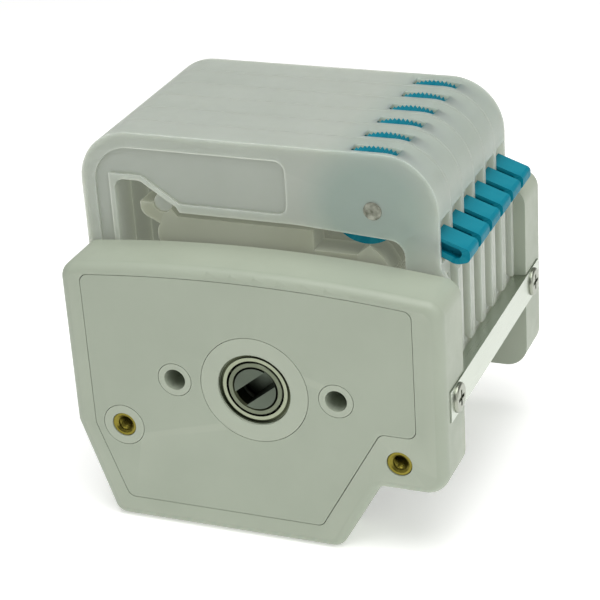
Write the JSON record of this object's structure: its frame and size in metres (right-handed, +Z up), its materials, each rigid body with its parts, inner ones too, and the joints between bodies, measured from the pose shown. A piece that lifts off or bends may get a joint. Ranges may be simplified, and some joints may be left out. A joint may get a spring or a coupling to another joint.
{
  "type": "peristaltic pump head",
  "caption": "Multi-channel peristaltic pump head: moulded end plates with a ball-bearing drive shaft, roller rotor and clip-on cartridges with ratchet levers.",
  "frame": {"origin": "where the drive shaft's axis meets the drive face of the front plate", "axes": "+X to the lever side, +Y from the drive face into the pump along the shaft, +Z up"},
  "size_m": [0.112, 0.0934, 0.1105],
  "materials": {
    "housing": "fine satin moulding",
    "panel": "fine satin moulding",
    "cartridge": "milky, slightly translucent",
    "shoe": "satin",
    "lever": "semi-gloss",
    "brass": "turned",
    "strip": "brushed",
    "alloy": "turned",
    "shield": "pressed",
    "bearing": "ground",
    "roller": "polished",
    "steel": "turned"
  },
  "bodies": {
    "base": {"front_plate": "housing", "rear_plate": "housing", "front_panel": "panel", "rear_panel": "panel", "tie_rod_left": "alloy", "tie_rod_right": "alloy", "tie_rod_low_left": "alloy", "tie_rod_low_right": "alloy", "tie_rod_screws": "steel", "threaded_inserts": "brass", "side_strip_right": "strip", "side_strip_left": "strip", "strip_screws": "steel", "front_bearing_outer_ring": "bearing", "front_bearing_balls": "bearing", "front_bearing_shields": "shield", "rear_bearing_outer_ring": "bearing", "rear_bearing_balls": "bearing", "rear_bearing_shields": "shield"},
    "rotor": {"drive_shaft": "steel", "rotor_disc_front": "alloy", "rotor_disc_rear": "alloy", "roller_axles": "steel", "front_bearing_inner_ring": "bearing", "rear_bearing_inner_ring": "bearing"},
    "roller_1_body": {"roller_01": "roller"},
    "roller_2_body": {"roller_02": "roller"},
    "roller_3_body": {"roller_03": "roller"},
    "roller_4_body": {"roller_04": "roller"},
    "roller_5_body": {"roller_05": "roller"},
    "roller_6_body": {"roller_06": "roller"},
    "roller_7_body": {"roller_07": "roller"},
    "roller_8_body": {"roller_08": "roller"},
    "roller_9_body": {"roller_09": "roller"},
    "roller_10_body": {"roller_10": "roller"},
    "cartridge_1": {"cartridge_1_frame": "cartridge", "cartridge_1_pin": "steel"},
    "cartridge_1_lever_body": {"cartridge_1_lever": "lever"},
    "cartridge_1_shoe_body": {"cartridge_1_shoe": "shoe"},
    "cartridge_2": {"cartridge_2_frame": "cartridge", "cartridge_2_pin": "steel"},
    "cartridge_2_lever_body": {"cartridge_2_lever": "lever"},
    "cartridge_2_shoe_body": {"cartridge_2_shoe": "shoe"},
    "cartridge_3": {"cartridge_3_frame": "cartridge", "cartridge_3_pin": "steel"},
    "cartridge_3_lever_body": {"cartridge_3_lever": "lever"},
    "cartridge_3_shoe_body": {"cartridge_3_shoe": "shoe"},
    "cartridge_4": {"cartridge_4_frame": "cartridge", "cartridge_4_pin": "steel"},
    "cartridge_4_lever_body": {"cartridge_4_lever": "lever"},
    "cartridge_4_shoe_body": {"cartridge_4_shoe": "shoe"},
    "cartridge_5": {"cartridge_5_frame": "cartridge", "cartridge_5_pin": "steel"},
    "cartridge_5_lever_body": {"cartridge_5_lever": "lever"},
    "cartridge_5_shoe_body": {"cartridge_5_shoe": "shoe"},
    "cartridge_6": {"cartridge_6_frame": "cartridge", "cartridge_6_pin": "steel"},
    "cartridge_6_lever_body": {"cartridge_6_lever": "lever"},
    "cartridge_6_shoe_body": {"cartridge_6_shoe": "shoe"}
  },
  "joints": [
    {"name": "rotor_spin", "type": "hinge", "parent": "base", "child": "rotor", "pos_m": [0, 0.0467, 0], "axis": [0, 1, 0], "continuous": true},
    {"name": "roller_1_spin", "type": "hinge", "parent": "rotor", "child": "roller_1_body", "pos_m": [0.0155, 0.0467, 0], "axis": [0, 1, 0], "continuous": true},
    {"name": "roller_2_spin", "type": "hinge", "parent": "rotor", "child": "roller_2_body", "pos_m": [0.01254, 0.0467, 0.00911], "axis": [0, 1, 0], "continuous": true},
    {"name": "roller_3_spin", "type": "hinge", "parent": "rotor", "child": "roller_3_body", "pos_m": [0.00479, 0.0467, 0.01474], "axis": [0, 1, 0], "continuous": true},
    {"name": "roller_4_spin", "type": "hinge", "parent": "rotor", "child": "roller_4_body", "pos_m": [-0.00479, 0.0467, 0.01474], "axis": [0, 1, 0], "continuous": true},
    {"name": "roller_5_spin", "type": "hinge", "parent": "rotor", "child": "roller_5_body", "pos_m": [-0.01254, 0.0467, 0.00911], "axis": [0, 1, 0], "continuous": true},
    {"name": "roller_6_spin", "type": "hinge", "parent": "rotor", "child": "roller_6_body", "pos_m": [-0.0155, 0.0467, 0], "axis": [0, 1, 0], "continuous": true},
    {"name": "roller_7_spin", "type": "hinge", "parent": "rotor", "child": "roller_7_body", "pos_m": [-0.01254, 0.0467, -0.00911], "axis": [0, 1, 0], "continuous": true},
    {"name": "roller_8_spin", "type": "hinge", "parent": "rotor", "child": "roller_8_body", "pos_m": [-0.00479, 0.0467, -0.01474], "axis": [0, 1, 0], "continuous": true},
    {"name": "roller_9_spin", "type": "hinge", "parent": "rotor", "child": "roller_9_body", "pos_m": [0.00479, 0.0467, -0.01474], "axis": [0, 1, 0], "continuous": true},
    {"name": "roller_10_spin", "type": "hinge", "parent": "rotor", "child": "roller_10_body", "pos_m": [0.01254, 0.0467, -0.00911], "axis": [0, 1, 0], "continuous": true},
    {"name": "cartridge_1_open", "type": "hinge", "parent": "base", "child": "cartridge_1", "pos_m": [0.05, 0.0216, 0.0039], "axis": [0, 1, 0], "range_deg": [0, 40]},
    {"name": "cartridge_1_lever_lift", "type": "hinge", "parent": "cartridge_1", "child": "cartridge_1_lever_body", "pos_m": [0.0298, 0.0216, 0.0479], "axis": [0, -1, 0], "range_deg": [0, 12.9]},
    {"name": "cartridge_1_shoe_press", "type": "hinge", "parent": "cartridge_1", "child": "cartridge_1_shoe_body", "pos_m": [-0.0308, 0.0216, 0.0438], "axis": [0, 1, 0], "range_deg": [0, 0.516]},
    {"name": "cartridge_2_open", "type": "hinge", "parent": "base", "child": "cartridge_2", "pos_m": [0.05, 0.0316, 0.0039], "axis": [0, 1, 0], "range_deg": [0, 40]},
    {"name": "cartridge_2_lever_lift", "type": "hinge", "parent": "cartridge_2", "child": "cartridge_2_lever_body", "pos_m": [0.0298, 0.0316, 0.0479], "axis": [0, -1, 0], "range_deg": [0, 12.9]},
    {"name": "cartridge_2_shoe_press", "type": "hinge", "parent": "cartridge_2", "child": "cartridge_2_shoe_body", "pos_m": [-0.0308, 0.0316, 0.0438], "axis": [0, 1, 0], "range_deg": [0, 0.516]},
    {"name": "cartridge_3_open", "type": "hinge", "parent": "base", "child": "cartridge_3", "pos_m": [0.05, 0.0416, 0.0039], "axis": [0, 1, 0], "range_deg": [0, 40]},
    {"name": "cartridge_3_lever_lift", "type": "hinge", "parent": "cartridge_3", "child": "cartridge_3_lever_body", "pos_m": [0.0298, 0.0416, 0.0479], "axis": [0, -1, 0], "range_deg": [0, 12.9]},
    {"name": "cartridge_3_shoe_press", "type": "hinge", "parent": "cartridge_3", "child": "cartridge_3_shoe_body", "pos_m": [-0.0308, 0.0416, 0.0438], "axis": [0, 1, 0], "range_deg": [0, 0.516]},
    {"name": "cartridge_4_open", "type": "hinge", "parent": "base", "child": "cartridge_4", "pos_m": [0.05, 0.0516, 0.0039], "axis": [0, 1, 0], "range_deg": [0, 40]},
    {"name": "cartridge_4_lever_lift", "type": "hinge", "parent": "cartridge_4", "child": "cartridge_4_lever_body", "pos_m": [0.0298, 0.0516, 0.0479], "axis": [0, -1, 0], "range_deg": [0, 12.9]},
    {"name": "cartridge_4_shoe_press", "type": "hinge", "parent": "cartridge_4", "child": "cartridge_4_shoe_body", "pos_m": [-0.0308, 0.0516, 0.0438], "axis": [0, 1, 0], "range_deg": [0, 0.516]},
    {"name": "cartridge_5_open", "type": "hinge", "parent": "base", "child": "cartridge_5", "pos_m": [0.05, 0.0616, 0.0039], "axis": [0, 1, 0], "range_deg": [0, 40]},
    {"name": "cartridge_5_lever_lift", "type": "hinge", "parent": "cartridge_5", "child": "cartridge_5_lever_body", "pos_m": [0.0298, 0.0616, 0.0479], "axis": [0, -1, 0], "range_deg": [0, 12.9]},
    {"name": "cartridge_5_shoe_press", "type": "hinge", "parent": "cartridge_5", "child": "cartridge_5_shoe_body", "pos_m": [-0.0308, 0.0616, 0.0438], "axis": [0, 1, 0], "range_deg": [0, 0.516]},
    {"name": "cartridge_6_open", "type": "hinge", "parent": "base", "child": "cartridge_6", "pos_m": [0.05, 0.0716, 0.0039], "axis": [0, 1, 0], "range_deg": [0, 40]},
    {"name": "cartridge_6_lever_lift", "type": "hinge", "parent": "cartridge_6", "child": "cartridge_6_lever_body", "pos_m": [0.0298, 0.0716, 0.0479], "axis": [0, -1, 0], "range_deg": [0, 12.9]},
    {"name": "cartridge_6_shoe_press", "type": "hinge", "parent": "cartridge_6", "child": "cartridge_6_shoe_body", "pos_m": [-0.0308, 0.0716, 0.0438], "axis": [0, 1, 0], "range_deg": [0, 0.516]}
  ],
  "couplings": [
    {"joint": "cartridge_1_shoe_press", "follows": "cartridge_1_lever_lift", "ratio": 0.04},
    {"joint": "cartridge_2_shoe_press", "follows": "cartridge_2_lever_lift", "ratio": 0.04},
    {"joint": "cartridge_3_shoe_press", "follows": "cartridge_3_lever_lift", "ratio": 0.04},
    {"joint": "cartridge_4_shoe_press", "follows": "cartridge_4_lever_lift", "ratio": 0.04},
    {"joint": "cartridge_5_shoe_press", "follows": "cartridge_5_lever_lift", "ratio": 0.04},
    {"joint": "cartridge_6_shoe_press", "follows": "cartridge_6_lever_lift", "ratio": 0.04}
  ]
}
